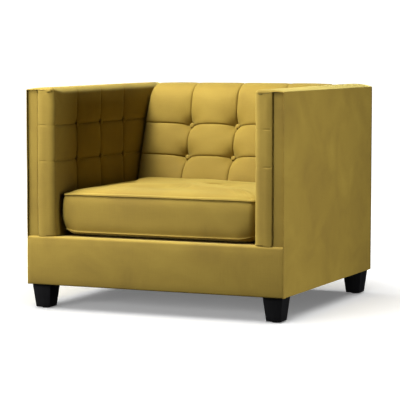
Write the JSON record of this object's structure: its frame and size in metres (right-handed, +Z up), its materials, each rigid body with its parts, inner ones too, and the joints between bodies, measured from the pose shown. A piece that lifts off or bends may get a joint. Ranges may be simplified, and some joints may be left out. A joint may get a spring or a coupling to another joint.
{
  "type": "upholstered armchair",
  "caption": "Square club armchair with arms as high as the back, button-tufted inside, a loose box seat cushion and square tapered legs.",
  "frame": {"origin": "centre of the chair's footprint, on the floor", "axes": "+Z up, -Y the way the sitter faces, +X to the right of a person looking at the chair from the front"},
  "size_m": [0.96, 0.888, 0.772],
  "materials": {
    "beech_dowel": "raw",
    "black_lacquered_wood": "satin lacquer",
    "button_velvet": "short-pile velvet",
    "cushion_foam": "open-cell foam",
    "deck_cloth": "plain weave",
    "dust_cloth": "non-woven",
    "frame_timber": "planed, raw",
    "glide_plastic": "matt",
    "hardboard": "smooth face",
    "mustard_velvet": "short-pile velvet",
    "spring_steel": "oiled",
    "twine": "waxed twine",
    "upholstery_foam": "open-cell foam",
    "webbing": "woven jute",
    "zinc_plated_steel": "zinc plated",
    "zip_metal": "antiqued",
    "zip_tape": "woven tape with nylon teeth"
  },
  "bodies": {
    "chair": {"arm_buttons_left": "button_velvet", "arm_buttons_right": "button_velvet", "arm_cover_left": "mustard_velvet", "arm_cover_right": "mustard_velvet", "arm_facing_left": "mustard_velvet", "arm_facing_right": "mustard_velvet", "arm_foam_left": "upholstery_foam", "arm_foam_right": "upholstery_foam", "arm_front_post_left": "frame_timber", "arm_front_post_right": "frame_timber", "arm_inner_board_left": "hardboard", "arm_inner_board_right": "hardboard", "arm_rear_post_left": "frame_timber", "arm_rear_post_right": "frame_timber", "arm_top_foam_left": "upholstery_foam", "arm_top_foam_right": "upholstery_foam", "arm_top_rail_left": "frame_timber", "arm_top_rail_right": "frame_timber", "back_board": "hardboard", "back_buttons": "button_velvet", "back_cover": "mustard_velvet", "back_foam": "upholstery_foam", "back_inner_cover": "mustard_velvet", "back_post_left": "frame_timber", "back_post_right": "frame_timber", "back_top_foam": "upholstery_foam", "back_top_rail": "frame_timber", "back_webbing": "webbing", "base_front_rail": "frame_timber", "base_rear_rail": "frame_timber", "base_side_rail_left": "frame_timber", "base_side_rail_right": "frame_timber", "corner_blocks": "frame_timber", "deck_cloth": "deck_cloth", "deck_foam": "upholstery_foam", "dust_cover": "dust_cloth", "frame_dowels": "beech_dowel", "front_rail_cover": "mustard_velvet", "leg_bolts": "zinc_plated_steel", "leg_front_left": "black_lacquered_wood", "leg_front_right": "black_lacquered_wood", "leg_glides": "glide_plastic", "leg_plates": "zinc_plated_steel", "leg_rear_left": "black_lacquered_wood", "leg_rear_right": "black_lacquered_wood", "leg_screws": "zinc_plated_steel", "rail_foam": "upholstery_foam", "seat_springs": "spring_steel", "side_board_left": "hardboard", "side_board_right": "hardboard", "side_cover_left": "mustard_velvet", "side_cover_right": "mustard_velvet", "spring_clips": "spring_steel", "spring_rear_rail": "frame_timber", "tuft_ties": "twine"},
    "seat_cushion": {"cushion_foam": "cushion_foam", "cushion_cover": "mustard_velvet", "zip_tape": "zip_tape"},
    "zip_slider": {"zip_slider": "zip_metal"},
    "zip_pull": {"zip_pull": "zip_metal"}
  },
  "joints": [
    {"name": "cushion_lift", "type": "slide", "parent": "chair", "child": "seat_cushion", "axis": [0, 0, 1], "range_m": [0, 0.55]},
    {"name": "zip_slide", "type": "slide", "parent": "seat_cushion", "child": "zip_slider", "axis": [-1, 0, 0], "range_m": [0, 0.49]},
    {"name": "zip_pull_swing", "type": "hinge", "parent": "zip_slider", "child": "zip_pull", "pos_m": [0.248, 0.19, 0.339], "axis": [0, 0, -1], "range_deg": [0, 12]}
  ]
}
